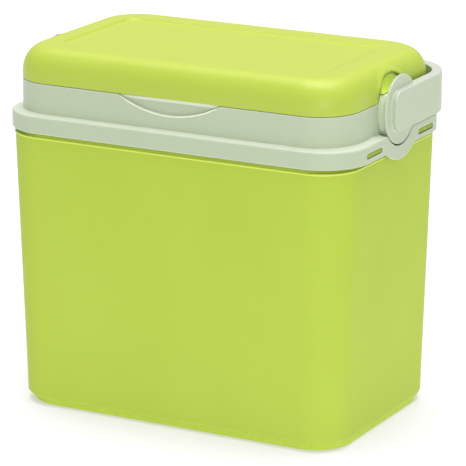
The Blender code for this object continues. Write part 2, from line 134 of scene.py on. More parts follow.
# ---- shell and liner ------------------------------------------------------------------

FOOT_FILLET = 4.5 * MM
FOOT_HEIGHT = 4.3 * MM
FOOT_ANGLE = math.radians(15)
FOOT_EDGE = 1.0 * MM
FOOT_BORDER = 12 * MM
FOOT_STEPS = 12
SHOULDER_BREAK = 0.3 * MM
BEAD_RISE = 0.6 * MM         # how far the bead stands out of the wall
BEAD_RADIUS = 0.9 * MM
BEAD_Z = SHOULDER_Z + 0.1 * MM
BOSS_CLEARANCE = 0.7 * MM
BOSS_CLEARANCE_X = BAND[0] - 1.8 * MM
LINER_LIP_TOP = 6.4 * MM
LINER_LIP_WIDTH = 6.5 * MM

# ---- lid ------------------------------------------------------------------------------

LID_LOWER_EDGE = 0.5 * MM
LID_CROWN_STEPS = 56
LID_END_STEPS = 90           # columns across each end, for the arches
CAVITY_TOP_INSET = 0.8 * MM
CAVITY_BELOW = 6 * MM        # how far the cutter stands out of the lid's open side
PANEL_DEPTH = 1.5 * MM
PANEL_SLOPE = 1.3 * MM       # half the width of the slope
PANEL_SLACK = 0.1 * MM       # still counts as the panel's floor
PANEL_EASE = (9.0 * MM, 7.0 * MM)
ARCH_RIM_WIDTH = 3.2 * MM
ARCH_RIM_RISE = 1.0 * MM
ARCH_RIM_START_X = LID_CROWN[0] - 2 * MM
ARCH_RIM_OFFSET = 0.3        # of its width, from the pocket's edge to the rim's peak
ARCH_RIM_OUTSIDE = 1.4       # reach of the swelling away from the pocket, in widths
ARCH_RIM_INSIDE = 3          # and towards it
ARCH_RIM_FADE = 6 * MM       # height over which it grows from the lid's straight edge
ARCH_RIM_LIFT = 0.4          # how much it lifts for each unit it swells
PLUG_GAP = 1.5 * MM
PLUG_FILLET = 4.0 * MM
PLUG_INNER_FILLET = 3.0 * MM

# ---- pivots and handle ----------------------------------------------------------------

BOSS_RADIUS = 24.3 * MM
BOSS_CORNER = 2.0 * MM
BOSS_ROOT_X = BAND[0] - 0.4 * MM
BOSS_OUTER_X = BAND[0] + 5.9 * MM
DISC_INNER_X = BAND[0] + 6.2 * MM
DISC_OUTER_X = BAND[0] + 8.0 * MM
ARM_INNER_X = BAND[0] + 4.2 * MM
ARM_OUTER_X = handle_high.x
ARM_LOW_Z = PIVOT_Z - 14.8 * MM
ARM_HIGH_Z = PIVOT_Z + 16.0 * MM
ARM_END_Y = -16.8 * MM
ARM_END_RADIUS = 9.0 * MM
BAIL_CENTRE = (ARM_INNER_X - 37.2 * MM, handle_high.y - 45.1 * MM)
ARM_TRIM = 1.0 * MM          # the bail is built this much too tall, then cut
NOTCH_RADIUS = DISC_RADIUS + 1.3 * MM
NOTCH_FLOOR_X = BAND[0] + 0.6 * MM
DIP_RADIUS = PIVOT_Z - collar_low.z
DIP_FILLET = 6.0 * MM
TRIM_REACH = 30 * MM         # how far below the flange the cutter reaches
POCKET_RADIUS = DISC_RADIUS + 0.4 * MM
POCKET_FLOOR_X = BAND[0] - 3.6 * MM
LUG_RADIUS = 25.0 * MM
LUG_FACE_X = BAND[0] - 2.4 * MM
LUG_OUTER_X = BAND[0] + 3.2 * MM
LUG_BACK_X = POCKET_FLOOR_X - 1.2 * MM
LUG_ROUND_X = BAND[0] - 10 * MM
LUG_LIP = 0.6 * MM
LUG_COVE = 9.5 * MM
LUG_COVE_FLATNESS = 0.4      # 0 is a quarter circle, 1 is a straight chamfer
FILLER_SETBACK = 0.3 * MM
FILLER_GAP = 0.4 * MM
RELIEF_RADIUS = 28.0 * MM
RELIEF_END_X = DISC_INNER_X + 0.5 * MM
STUB_RADIUS = 9.0 * MM
STUB_ROOT_X = BOSS_OUTER_X - 1.2 * MM
STUB_END_X = collar_high.x

# ---- windows and scallop --------------------------------------------------------------

WINDOW_MIDDLE_Y = 44.2 * MM
WINDOW_LENGTH = 27.0 * MM
WINDOW_HEIGHT = 4.4 * MM
WINDOW_Z = SKIRT_BOTTOM_Z + 5.6 * MM
WINDOW_FLOOR_X = BAND[0] + 4.2 * MM
TAB_MARGIN = 0.6 * MM
TAB_ROOT_X = BAND[0] + 1.3 * MM
TAB_FACE_X = SKIRT[0] - 0.9 * MM

SCALLOP_HALF_CHORD = 44.0 * MM
SCALLOP_DEPTH = 12.5 * MM
SCALLOP_RECESS = 2.4 * MM
SCALLOP_DRAFT = 0.9 * MM
SCALLOP_RADIUS = (SCALLOP_HALF_CHORD ** 2 + SCALLOP_DEPTH ** 2) / (2 * SCALLOP_DEPTH)
SCALLOP_CENTRE_Z = RIM_Z - SCALLOP_DEPTH + SCALLOP_RADIUS
SCALLOP_MARGIN = 1.1         # the cutter's half width, in half chords
CUTTER_REACH = 8.0           # how far out the cutter stands, in recess depths
LIP_RADIUS = 0.6 * MM
LIP_SINK = 0.5               # of its radius, into the band
LIP_LENGTH = 0.99            # of the scallop's edge
LIP_TAPER = 8                # the higher, the later the bead thins towards its ends
LIP_THINNEST = 0.05

# ---- light: strengths are set against the photo ---------------------------------------

HORIZON = 0.41
ZENITH = 0.51
SKY_FADE_TOP = 0.9           # Z of the sky's unit direction where the zenith's strength starts
SKYLIGHT = 2.93
SKYLIGHT_FROM = (-0.03, 0.09, 1.0)
SKYLIGHT_SPREAD = math.radians(50)
FILL_POWER = 13.0
FILL_PLACE = (1.5, -1.85, 0.6)
FILL_AIM = (0, 0, 0.12)
FILL_SIZE = 1.2
TABLE_SIDE = 6
TABLE_FRONT = -6
TABLE_BACK = 8
TABLE_HEIGHT = 0.02
TABLE_CLOUDS = 0.4
TABLE_ROUGHNESS = 0.9
TABLE_GLOSS = 0.1
TABLE_GLOW = 0.36
TABLE_GLOW_COLOUR = (0.97, 0.96, 1.0, 1.0)
TABLE_DARK = (0.590, 0.570, 0.620)
TABLE_LIGHT = (0.605, 0.585, 0.635)

# ---- camera, solved with the box's proportions ----------------------------------------

CAMERA_AZIMUTH = math.radians(28.39)
CAMERA_ELEVATION = math.radians(15.70)
CAMERA_DISTANCE = 2.4443
CAMERA_TARGET = (-0.00115, 0.0165, 0.12936)
CAMERA_LENS = 241.56         # millimetres, like the sensor
CAMERA_SENSOR = 36.0
CAMERA_CLIP_END = 50.0

# ---- surface: ranges are (from, to), tints are scales of a colour ---------------------

CLOUD_SIZE = 60 * MM
CLOUD_STRETCH = (1, 1, 0.6)
# Painted top light: faces that look up are mixed towards a lighter colour.
TOP_LIGHT_RANGE = (0.55, 0.98)   # how far up a face looks, from no painted top light to full painted top light
TOP_LIGHT_TINT = (1.0, 1.02)
# Painted highlight along convex edges:
EDGE_REACH = 1.1 * MM
EDGE_RANGE = (0.55, 0.95)
EDGE_TINT = (1.2, 1.25)
CREASE_REACH = 1.2 * MM
CREASE_RANGE = (0.2, 0.8)
CREASE_SHADE = 0.6
CREASE_TINT = (0.35, 0.38)
RIM_RANGE = (SHELL_RIM_ROOT_Z, SHOULDER_Z + 2.4 * MM)
RIM_SHADE = 0.4
# Painted light that lightens the bottom edge, with a ragged border:
FOOT_LIGHT_RANGE = (2 * MM, 9 * MM)
FOOT_LIGHT_NOISE = 4 * MM
FOOT_LIGHT_RAGGED = 1 * MM
FOOT_LIGHT_TINT = (1.30, 1.34)
GLOSS_SIZES = (1.2 * MM, 35 * MM)
GLOSS_SWINGS = (0.02, 0.03)
GRAIN_SIZE = 0.45 * MM
GRAIN_STRENGTH = 0.035
GRAIN_DEPTH = 0.1 * MM
PLASTIC_IOR = 1.49
FOAM_CELL = 3.2 * MM
FOAM_RANGE = (0, 0.8)
FOAM_LIGHT = (0.90, 0.90, 0.89)
FOAM_DARK = (0.78, 0.78, 0.77)
FOAM_ROUGHNESS = 0.85
FOAM_STRENGTH = 0.4
FOAM_DEPTH = 0.4 * MM

# ---- detail ---------------------------------------------------------------------------

CORNER_STEPS = 28
CIRCLE_STEPS = 144
FAR = 0.2
SMOOTH_ANGLE = math.radians(35)


# ---- outlines and profiles ------------------------------------------------------------

def blend(first, second, share):
    """An outline between two others."""
    return tuple(a + (b - a) * share for a, b in zip(first, second))


def ring_points(outline, z, end_steps=1):
    """Points of a rounded rectangle, counter-clockwise from above, with its ends subdivided."""
    half_x, half_y, radius = outline
    reach = half_y - radius
    points = []
    for sign_x, sign_y, start in ((1, 1, 0), (-1, 1, 90), (-1, -1, 180), (1, -1, 270)):
        for step in range(CORNER_STEPS + 1):
            angle = math.radians(start + 90 * step / CORNER_STEPS)
            x = sign_x * (half_x - radius) + radius * math.cos(angle)
            y = sign_y * (half_y - radius) + radius * math.sin(angle)
            points.append((x, y, z))
        if sign_x * sign_y < 0:
            for step in range(1, end_steps):
                points.append((sign_x * half_x, sign_y * reach * (1 - 2 * step / end_steps), z))
    return points


def arc(centre, radius, start, end, steps):
    """Points on an arc in a plane, with angles in degrees."""
    points = []
    for step in range(steps + 1):
        angle = math.radians(start + (end - start) * step / steps)
        points.append((centre[0] + radius * math.cos(angle), centre[1] + radius * math.sin(angle)))
    return points


def circle(radius):
    """A full circle round the handle's pivot, in Y and Z."""
    return arc((0.0, PIVOT_Z), radius, 0, 360, CIRCLE_STEPS)[:-1]


def rounded(points, steps=5):
    """A path of (a, b, radius) corners, each with a radius turned into an arc."""
    path = []
    for index, (a, b, radius) in enumerate(points):
        here = Vector((a, b))
        if radius == 0 or index in (0, len(points) - 1):
            path.append((a, b))
            continue
        to_last = (Vector(points[index - 1][:2]) - here).normalized()
        to_next = (Vector(points[index + 1][:2]) - here).normalized()
        half = to_last.angle(to_next) / 2
        reach = radius / math.tan(half)
        centre = here + (to_last + to_next).normalized() * (radius / math.sin(half))
        first = here + to_last * reach - centre
        turn = first.angle_signed(here + to_next * reach - centre)
        for step in range(steps + 1):
            angle = -turn * step / steps
            spoke = Vector((
                first.x * math.cos(angle) - first.y * math.sin(angle),
                first.x * math.sin(angle) + first.y * math.cos(angle),
            ))
            path.append(tuple(centre + spoke))
    return path


def flat_topped_circle(radius, top_z, corner):
    """A circle round the pivot, cut flat at top_z with rounded corners."""
    start = math.degrees(math.asin((top_z - PIVOT_Z) / radius))
    turn = 3                 # degrees of the circle left out for each corner
    cut = arc((0.0, PIVOT_Z), radius, 180 - start + turn, 360 + start - turn, CIRCLE_STEPS)
    half = radius * math.cos(math.radians(start))
    right = rounded([(*cut[-1], 0), (half, top_z, corner), (0.0, top_z, 0)])
    left = [(-y, z) for y, z in reversed(right)]
    return cut[:-1] + right[:-1] + left[1:]


def slot(middle_y, length, height):
    """A slot with round ends at the windows' height, in Y and Z."""
    radius = height / 2
    reach = length / 2 - radius
    right = arc((middle_y + reach, WINDOW_Z), radius, -90, 90, 16)
    left = arc((middle_y - reach, WINDOW_Z), radius, 90, 270, 16)
    return right + left


# ---- meshes ---------------------------------------------------------------------------

def finish_mesh(name, builder):
    """Turn a bmesh into a linked object, with its faces outwards."""
    bmesh.ops.recalc_face_normals(builder, faces=builder.faces)
    mesh = bpy.data.meshes.new(name)
    builder.to_mesh(mesh)
    builder.free()
    piece = bpy.data.objects.new(name, mesh)
    bpy.context.scene.collection.objects.link(piece)
    return piece


def skin(name, levels, ring=False, end_steps=1):
    """Skin rounded rectangles in order. A ring closes on itself, the rest get end caps."""
    builder = bmesh.new()
    rings = [
        [builder.verts.new(point) for point in ring_points(*level, end_steps)] for level in levels
    ]
    count = len(rings[0])
    pairs = list(zip(rings, rings[1:]))
    if ring:
        pairs.append((rings[-1], rings[0]))
    for lower, upper in pairs:
        for index in range(count):
            after = (index + 1) % count
            builder.faces.new((lower[index], lower[after], upper[after], upper[index]))
    if not ring:
        builder.faces.new(rings[0])
        builder.faces.new(rings[-1])
    return finish_mesh(name, builder)


def prism(name, outline, axis, start, end):
    """Extrude a plane outline along X (outline in Y, Z), Y (in X, Z) or Z (in X, Y)."""
    builder = bmesh.new()
    place = {
        "X": lambda p, along: (along, p[0], p[1]),
        "Y": lambda p, along: (p[0], along, p[1]),
        "Z": lambda p, along: (p[0], p[1], along),
    }[axis]
    near = [builder.verts.new(place(point, start)) for point in outline]
    far = [builder.verts.new(place(point, end)) for point in outline]
    count = len(outline)
    for index in range(count):
        after = (index + 1) % count
        builder.faces.new((near[index], near[after], far[after], far[index]))
    builder.faces.new(near)
    builder.faces.new(far)
    return finish_mesh(name, builder)


def end_prisms(name, outline, start_x, end_x):
    """The same prism at the right end and, mirrored, at the left end."""
    return [
        prism(f"{name}_{side}", outline, "X", sign * start_x, sign * end_x)
        for side, sign in (("right", 1), ("left", -1))
    ]


def bake(piece):
    """Replace the piece's mesh with its evaluated one, and drop its modifiers."""
    bpy.context.view_layer.update()
    evaluated = piece.evaluated_get(bpy.context.evaluated_depsgraph_get())
    mesh = bpy.data.meshes.new_from_object(evaluated)
    piece.modifiers.clear()
    piece.data = mesh
    return piece


def combine(piece, others, operation):
    """Exact Booleans with other shapes, which are then deleted."""
    for other in others:
        modifier = piece.modifiers.new("combine", "BOOLEAN")
        modifier.solver = "EXACT"
        modifier.operation = operation
        modifier.object = other
    bake(piece)
    for other in others:
        bpy.data.objects.remove(other, do_unlink=True)
    return piece


def tidy(piece, distance=0.02 * MM):
    """Weld slivers left by a Boolean."""
    builder = bmesh.new()
    builder.from_mesh(piece.data)
    bmesh.ops.remove_doubles(builder, verts=builder.verts, dist=distance)
    bmesh.ops.dissolve_degenerate(builder, edges=builder.edges, dist=distance)
    builder.to_mesh(piece.data)
    builder.free()
    return piece


def soften(piece, width, segments=3, angle=40):
    """Round the sharp edges."""
    bevel = piece.modifiers.new("soften", "BEVEL")
    bevel.width = width
    bevel.segments = segments
    bevel.limit_method = "ANGLE"
    bevel.angle_limit = math.radians(angle)
    bevel.use_clamp_overlap = False
    bevel.miter_outer = "MITER_ARC"
    bake(piece)
    return piece


def smooth(piece):
    """Smooth shading with large faces kept flat."""
    piece.data.shade_smooth()
    piece.data.set_sharp_from_angle(angle=SMOOTH_ANGLE)
    weigh = piece.modifiers.new("weigh", "WEIGHTED_NORMAL")
    weigh.keep_sharp = True
    weigh.weight = 80
    return piece


def dress(piece, material, body, slot_name, *replaced):
    """Give a finished piece its material and its body; slot_name is not used."""
    piece.data.materials.clear()
    piece.data.materials.append(material)
    smooth(piece)
    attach(piece, body)
    if replaced:
        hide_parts(*replaced)
    return piece


# ---- materials ------------------------------------------------------------------------

class Nodes:
    """Short hand for building one material's node tree."""

    def __init__(self, name):
        self.material = bpy.data.materials.new(name)
        self.material.use_nodes = True
        self.tree = self.material.node_tree
        self.shader = self.tree.nodes["Principled BSDF"]
        coordinates = self.add("ShaderNodeTexCoord")
        self.place = coordinates.outputs["Object"]
        self.normal = coordinates.outputs["Normal"]

    def add(self, kind, **settings):
        """A new node with some of its properties set."""
        node = self.tree.nodes.new(kind)
        for key, value in settings.items():
            setattr(node, key, value)
        return node

    def link(self, source, target):
        """Wire one socket to another."""
        self.tree.links.new(source, target)

    def noise(self, size, detail=2.0, stretch=(1, 1, 1)):
        """Noise with features about size metres across."""
        mapping = self.add("ShaderNodeMapping")
        mapping.inputs["Scale"].default_value = stretch
        self.link(self.place, mapping.inputs["Vector"])
        node = self.add("ShaderNodeTexNoise")
        node.inputs["Scale"].default_value = 1 / size
        node.inputs["Detail"].default_value = detail
        self.link(mapping.outputs["Vector"], node.inputs["Vector"])
        return node.outputs["Fac"]

    def z_of(self, vector):
        """The Z part of a vector socket."""
        node = self.add("ShaderNodeSeparateXYZ")
        self.link(vector, node.inputs["Vector"])
        return node.outputs["Z"]

    def remap(self, source, low, high, from_low=0.3, from_high=0.7):
        """A value stretched and clamped to low..high. By default the source is a noise."""
        node = self.add("ShaderNodeMapRange")
        node.inputs["From Min"].default_value = from_low
        node.inputs["From Max"].default_value = from_high
        node.inputs["To Min"].default_value = low
        node.inputs["To Max"].default_value = high
        self.link(source, node.inputs["Value"])
        return node.outputs["Result"]

    def sum(self, first, second):
        """Two values added."""
        node = self.add("ShaderNodeMath", operation="ADD")
        self.link(first, node.inputs[0])
        self.link(second, node.inputs[1])
        return node.outputs["Value"]

    def mix(self, factor, first, second):
        """Two colour sockets mixed."""
        node = self.add("ShaderNodeMix", data_type="RGBA")
        self.link(factor, node.inputs["Factor"])
        self.link(first, node.inputs["A"])
        self.link(second, node.inputs["B"])
        return node.outputs["Result"]

    def occlusion(self, reach, inside=False):
        """How open the surface is within reach: low in creases, or inside, low at edges."""
        node = self.add("ShaderNodeAmbientOcclusion", inside=inside, only_local=inside, samples=8)
        node.inputs["Distance"].default_value = reach
        return node.outputs["AO"]

    def tint(self, factor, first, second):
        """Two plain colours mixed."""
        node = self.add("ShaderNodeMix", data_type="RGBA")
        self.link(factor, node.inputs["Factor"])
        node.inputs["A"].default_value = (*first, 1)
        node.inputs["B"].default_value = (*second, 1)
        return node.outputs["Result"]

    def mottle(self, factor, colour, amounts):
        """One colour scaled by two amounts and mixed."""
        first, second = (tuple(min(1.0, v * amount) for v in colour) for amount in amounts)
        return self.tint(factor, first, second)

    def bump(self, source, strength, depth, invert=False):
        """A bump from a height socket, wired to the shader."""
        node = self.add("ShaderNodeBump", invert=invert)
        node.inputs["Strength"].default_value = strength
        node.inputs["Distance"].default_value = depth
        self.link(source, node.inputs["Height"])
        self.link(node.outputs["Normal"], self.shader.inputs["Normal"])


def moulded_plastic(name, dark, light, roughness, painted_light_colour, edge_highlight, gloss=0.3, fade=0.0, painted_foot_light=0.0):
    """Satin injection-moulded plastic: flow clouds, fine grain, uneven gloss, painted edge
    highlights.

    painted_light_colour is the painted top light on faces that look up, edge_highlight how much
    paler the painted highlight makes the edges, and fade how much painted light lightens the colour
    from the collar down to the floor. painted_foot_light is how much painted light lightens the
    bottom edge; such a piece gets painted shade at its hidden rim, and the others in their creases.
    """
    nodes = Nodes(name)
    clouds = nodes.noise(CLOUD_SIZE, detail=3, stretch=CLOUD_STRETCH)
    height = nodes.z_of(nodes.place)
    # Painted light: the colour lightens from the collar down to the floor, by fade, to offset the
    # shade there.
    painted_low_light = nodes.remap(height, fade, 0.0, 0.0, SHOULDER_Z)
    colour = nodes.tint(nodes.sum(nodes.remap(clouds, 0, 1 - fade), painted_low_light), dark, light)
    # Painted top light: the more a face looks up, the more it takes the lighter
    # painted_light_colour.
    upward = nodes.remap(nodes.z_of(nodes.normal), 0.0, 1.0, *TOP_LIGHT_RANGE)
    colour = nodes.mix(upward, colour, nodes.mottle(clouds, painted_light_colour, TOP_LIGHT_TINT))
    # Painted highlight: convex edges, where the piece's own inside is near, are mixed towards a
    # paler copy of painted_light_colour.
    edges = nodes.remap(nodes.occlusion(EDGE_REACH, inside=True), edge_highlight, 0.0, *EDGE_RANGE)
    colour = nodes.mix(edges, colour, nodes.mottle(clouds, painted_light_colour, EDGE_TINT))
    if painted_foot_light:
        shade = nodes.remap(height, 0.0, RIM_SHADE, *RIM_RANGE)
    else:
        shade = nodes.remap(nodes.occlusion(CREASE_REACH), CREASE_SHADE, 0.0, *CREASE_RANGE)
    colour = nodes.mix(shade, colour, nodes.mottle(clouds, dark, CREASE_TINT))
    # Painted light: the bottom edge, with a ragged noisy border, is mixed towards a lighter colour.
    if painted_foot_light:
        ragged = nodes.remap(nodes.noise(FOOT_LIGHT_NOISE), -FOOT_LIGHT_RAGGED, FOOT_LIGHT_RAGGED)
        foot_light = nodes.remap(nodes.sum(height, ragged), painted_foot_light, 0.0, *FOOT_LIGHT_RANGE)
        colour = nodes.mix(foot_light, colour, nodes.mottle(clouds, light, FOOT_LIGHT_TINT))
    nodes.link(colour, nodes.shader.inputs["Base Color"])

    fine, broad = GLOSS_SWINGS
    fine_gloss = nodes.remap(nodes.noise(GLOSS_SIZES[0]), -fine, fine)
    broad_gloss = nodes.remap(nodes.noise(GLOSS_SIZES[1]), roughness - broad, roughness + broad)
    nodes.link(nodes.sum(fine_gloss, broad_gloss), nodes.shader.inputs["Roughness"])
    nodes.bump(nodes.noise(GRAIN_SIZE, detail=1), GRAIN_STRENGTH, GRAIN_DEPTH)
    nodes.shader.inputs["IOR"].default_value = PLASTIC_IOR
    nodes.shader.inputs["Specular IOR Level"].default_value = gloss
    return nodes.material


def bead_foam(name):
    """Expanded bead foam: packed cells a few millimetres across."""
    nodes = Nodes(name)
    cells = nodes.add("ShaderNodeTexVoronoi")
    cells.inputs["Scale"].default_value = 1 / FOAM_CELL
    nodes.link(nodes.place, cells.inputs["Vector"])
    distance = cells.outputs["Distance"]
    shade = nodes.remap(distance, 0, 1, *FOAM_RANGE)
    nodes.link(nodes.tint(shade, FOAM_LIGHT, FOAM_DARK), nodes.shader.inputs["Base Color"])
    nodes.bump(distance, FOAM_STRENGTH, FOAM_DEPTH, invert=True)
    nodes.shader.inputs["Roughness"].default_value = FOAM_ROUGHNESS
    return nodes.material


# ---- body -----------------------------------------------------------------------------

def fillet_up(outline, bottom_z, radius, start=0.0, steps=8):
    """Levels from under a floor up its rounded edge to the wall."""
    levels = []
    for step in range(steps + 1):
        angle = math.radians(start + (90 - start) * step / steps)
        inset = radius * (1 - math.sin(angle))
        levels.append((grow(outline, -inset), bottom_z + radius * (1 - math.cos(angle))))
    return levels


def outer_shell():
    """Lime bucket: foot, rounded lower edge, tapered wall, shoulder and hidden rim."""
    foot_profile = rounded([
        (FOOT_BORDER, FLOOR_Z, 0),
        (0.0, FLOOR_Z, FOOT_EDGE),
        (0.0, FLOOR_Z + FOOT_HEIGHT, 0),
    ])
    levels = [(grow(FOOT, -inset), z) for inset, z in foot_profile]
    start = 1 - math.sin(FOOT_ANGLE)
    for step in range(1, FOOT_STEPS + 1):
        angle = FOOT_ANGLE + (math.pi / 2 - FOOT_ANGLE) * step / FOOT_STEPS
        rise = FOOT_FILLET * (math.cos(FOOT_ANGLE) - math.cos(angle))
        outline = blend(SHELL_BASE, FOOT, (1 - math.sin(angle)) / start)
        levels.append((outline, FLOOR_Z + FOOT_HEIGHT + rise))
    rim_inner = grow(SHELL_RIM, -SHELL_RIM_WALL)
    levels += [
        (SHELL_TOP, SHOULDER_UPRIGHT_Z),
        (SHELL_TOP, SHOULDER_EDGE_Z),
        (grow(SHELL_TOP, -SHOULDER_BREAK), SHOULDER_BREAK_Z),
        (SHELL_RIM, SHELL_RIM_ROOT_Z),
        (SHELL_RIM, shell_high.z),
        (rim_inner, shell_high.z),
        (rim_inner, SHELL_RIM_INNER_Z),
        (grow(SHELL_TOP, -SHELL_WALL), SHELL_WALL_TOP_Z),
    ]
    levels += reversed(fillet_up(grow(SHELL_BASE, -SHELL_WALL), SHELL_INNER_FLOOR_Z, EDGE_FILLET))
    shell = skin("shell_moulding", levels)
    clearance = circle(BOSS_RADIUS + BOSS_CLEARANCE)
    return combine(shell, end_prisms("clearance", clearance, BOSS_CLEARANCE_X, FAR), "DIFFERENCE")


def shoulder_bead(steps=16):
    """Rounded bead that runs round the shell's shoulder, just under the collar."""
    levels = []
    for step in range(steps):
        angle = 2 * math.pi * step / steps
        outline = grow(SHELL_TOP, BEAD_RISE - BEAD_RADIUS + BEAD_RADIUS * math.cos(angle))
        levels.append((outline, BEAD_Z + BEAD_RADIUS * math.sin(angle)))
    return skin("shoulder_bead", levels, ring=True)


def snap_tabs():
    """The shell's tabs, each filling one window of the collar's flange."""
    tabs = []
    for row, sign in (("rear", 1), ("front", -1)):
        outline = slot(sign * WINDOW_MIDDLE_Y, WINDOW_LENGTH - 2 * TAB_MARGIN,
                       WINDOW_HEIGHT - 2 * TAB_MARGIN)
        tabs += end_prisms(f"snap_tab_{row}", outline, TAB_ROOT_X, TAB_FACE_X)
    for tab in tabs:
        soften(tab, TAB_EDGE)
    return tabs


def inner_liner():
    """Pale tub with a rim flange in the collar's rebate."""
    levels = fillet_up(grow(LINER_BASE, LINER_WALL), liner_low.z, EDGE_FILLET)
    under_z = liner_high.z - FLANGE_HEIGHT
    levels += [(grow(LINER_TOP, LINER_WALL), under_z), (LINER_FLANGE, under_z)]
    edge = rounded([
        (0.0, -1.2 * MM, 0),
        (0.0, 0.0, 0.4 * MM),
        (LINER_LIP_TOP, 0.0, 1.0 * MM),
        (LINER_LIP_WIDTH, -4 * MM, 0),
    ])
    for inset, z in edge:
        outline = blend(LINER_FLANGE, LINER_TOP, inset / LINER_LIP_WIDTH)
        levels.append((outline, liner_high.z + z))
    levels += reversed(fillet_up(LINER_BASE, liner_low.z + LINER_WALL, EDGE_FILLET))
    return skin("liner_moulding", levels)


# ---- collar ---------------------------------------------------------------------------

def skirt_trim():
    """Everything below the flange's lower edge, which dips round each pivot."""
    drop = PIVOT_Z - SKIRT_BOTTOM_Z
    fillet_y = math.sqrt((DIP_RADIUS + DIP_FILLET) ** 2 - (drop + DIP_FILLET) ** 2)
    reach = math.degrees(math.atan2(fillet_y, drop + DIP_FILLET))
    fillet_z = SKIRT_BOTTOM_Z - DIP_FILLET
    right = arc((fillet_y, fillet_z), DIP_FILLET, 90, 90 + reach, 12)
    middle = arc((0.0, PIVOT_Z), DIP_RADIUS, -90 + reach, -90 - reach, 60)
    left = arc((-fillet_y, fillet_z), DIP_FILLET, 90 - reach, 90, 12)
    low_z = SKIRT_BOTTOM_Z - TRIM_REACH
    outline = [(-FAR, low_z), (FAR, low_z), (FAR, SKIRT_BOTTOM_Z)] + right + middle[1:-1] + left
    outline.append((-FAR, SKIRT_BOTTOM_Z))
    return prism("skirt_trim", outline, "X", -FAR, FAR)


def scallop():
    """Shallow thumb recess under the lid's front edge, with a drafted lip that faces up."""
    reach = math.degrees(math.asin(SCALLOP_HALF_CHORD * SCALLOP_MARGIN / SCALLOP_RADIUS))
    builder = bmesh.new()
    faces = []
    for out in (0.0, CUTTER_REACH):      # in recess depths from the recess's floor; 1 is the band
        size = SCALLOP_RADIUS - SCALLOP_DRAFT * (1 - out)
        outline = arc((0.0, SCALLOP_CENTRE_Z), size, -90 - reach, -90 + reach, 96)
        y = -BAND[1] + SCALLOP_RECESS * (1 - out)
        faces.append([builder.verts.new((x, y, z)) for x, z in outline])
    deep, wide = faces
    for index in range(len(deep)):
        after = (index + 1) % len(deep)
        builder.faces.new((deep[index], deep[after], wide[after], wide[index]))
    builder.faces.new(deep)
    builder.faces.new(wide)
    return finish_mesh("scallop", builder)


def scallop_lip(steps=80, sides=12):
    """Rounded bead along the scallop's lower edge, which fades into the band at both ends."""
    centre = Vector((0.0, -BAND[1] + LIP_SINK * LIP_RADIUS, SCALLOP_CENTRE_Z))
    reach = math.asin(SCALLOP_HALF_CHORD / SCALLOP_RADIUS) * LIP_LENGTH
    builder = bmesh.new()
    rings = []
    for step in range(steps + 1):
        share = 2 * step / steps - 1
        angle = reach * share - math.pi / 2
        out = Vector((math.cos(angle), 0.0, math.sin(angle)))
        size = LIP_RADIUS * max(LIP_THINNEST, 1 - share ** LIP_TAPER)
        ring = []
        for side in range(sides):
            turn = 2 * math.pi * side / sides
            offset = out * (SCALLOP_RADIUS + size * math.cos(turn))
            offset.y -= size * math.sin(turn)
            ring.append(builder.verts.new(centre + offset))
        rings.append(ring)
    for lower, upper in zip(rings, rings[1:]):
        for side in range(sides):
            after = (side + 1) % sides
            builder.faces.new((lower[side], lower[after], upper[after], upper[side]))
    builder.faces.new(rings[0])
    builder.faces.new(rings[-1])
    return finish_mesh("scallop_lip", builder)


def collar_outline(inset):
    """Outlines that pass from the flange's face inwards to the band and beyond."""
    step = SKIRT[0] - BAND[0]
    if inset <= step:
        return blend(SKIRT, BAND, inset / step)
    return grow(BAND, step - inset)


def collar():
    """Sage ring: flange, ledge, band and rim, cut for pivots, windows and scallop."""
    step = SKIRT[0] - BAND[0]
    rebate = step + RIM_WIDTH
    outside = rounded([
        (0.0, SKIRT_BUILD_Z, 0),
        (0.0, LEDGE_OUTER_Z, SKIRT_EDGE),
        (step, LEDGE_INNER_Z, LEDGE_FILLET),
        (step, RIM_Z, RIM_EDGE),
        (rebate, RIM_Z, 0),
    ], steps=7)
    lip = SKIRT[0] - (LINER_TOP[0] + LINER_WALL + RIM_LIP_GAP)
    inside = [
        (rebate, REBATE_Z),
        (lip, REBATE_Z),
        (lip, RIM_UNDER_Z),
        (step + BAND_WALL, RIM_UNDER_Z),
        (step + BAND_WALL, LEDGE_UNDER_Z),
    ]
    levels = [(collar_outline(inset), z) for inset, z in outside + inside]
    levels.append((grow(SKIRT, -SKIRT_WALL), LEDGE_UNDER_Z))
    levels.append((grow(SKIRT, -SKIRT_WALL), SKIRT_BUILD_Z))
    ring = skin("collar_moulding", levels, ring=True)
    cutters = [skirt_trim(), scallop()]
    cutters += end_prisms("notch", circle(NOTCH_RADIUS), NOTCH_FLOOR_X, FAR)
    for sign in (1, -1):
        window = slot(sign * WINDOW_MIDDLE_Y, WINDOW_LENGTH, WINDOW_HEIGHT)
        cutters += end_prisms("window", window, WINDOW_FLOOR_X, FAR)
    combine(ring, cutters, "DIFFERENCE")
    tidy(ring)
    return soften(ring, COLLAR_EDGE)


def pivot_bosses():
    """The collar's flat-topped boss at each end, and the stub that the handle turns on."""
    outline = flat_topped_circle(BOSS_RADIUS, BOSS_TOP_Z, BOSS_CORNER)
    bosses = end_prisms("pivot_boss", outline, BOSS_ROOT_X, BOSS_OUTER_X)
    stubs = end_prisms("pivot_stub", circle(STUB_RADIUS), STUB_ROOT_X, STUB_END_X)
    for piece in bosses + stubs:
        soften(piece, MOULD_EDGE)
    return bosses + stubs


# ---- lid ------------------------------------------------------------------------------

def crown(outer, top_outline, low_z, top_z, steps=18):
    """Levels up the quarter-ellipse edge of the lid."""
    levels = []
    for step in range(1, steps + 1):
        angle = math.pi / 2 * step / steps
        share = 1 - math.cos(angle)
        levels.append((blend(outer, top_outline, share), low_z + (top_z - low_z) * math.sin(angle)))
    return levels


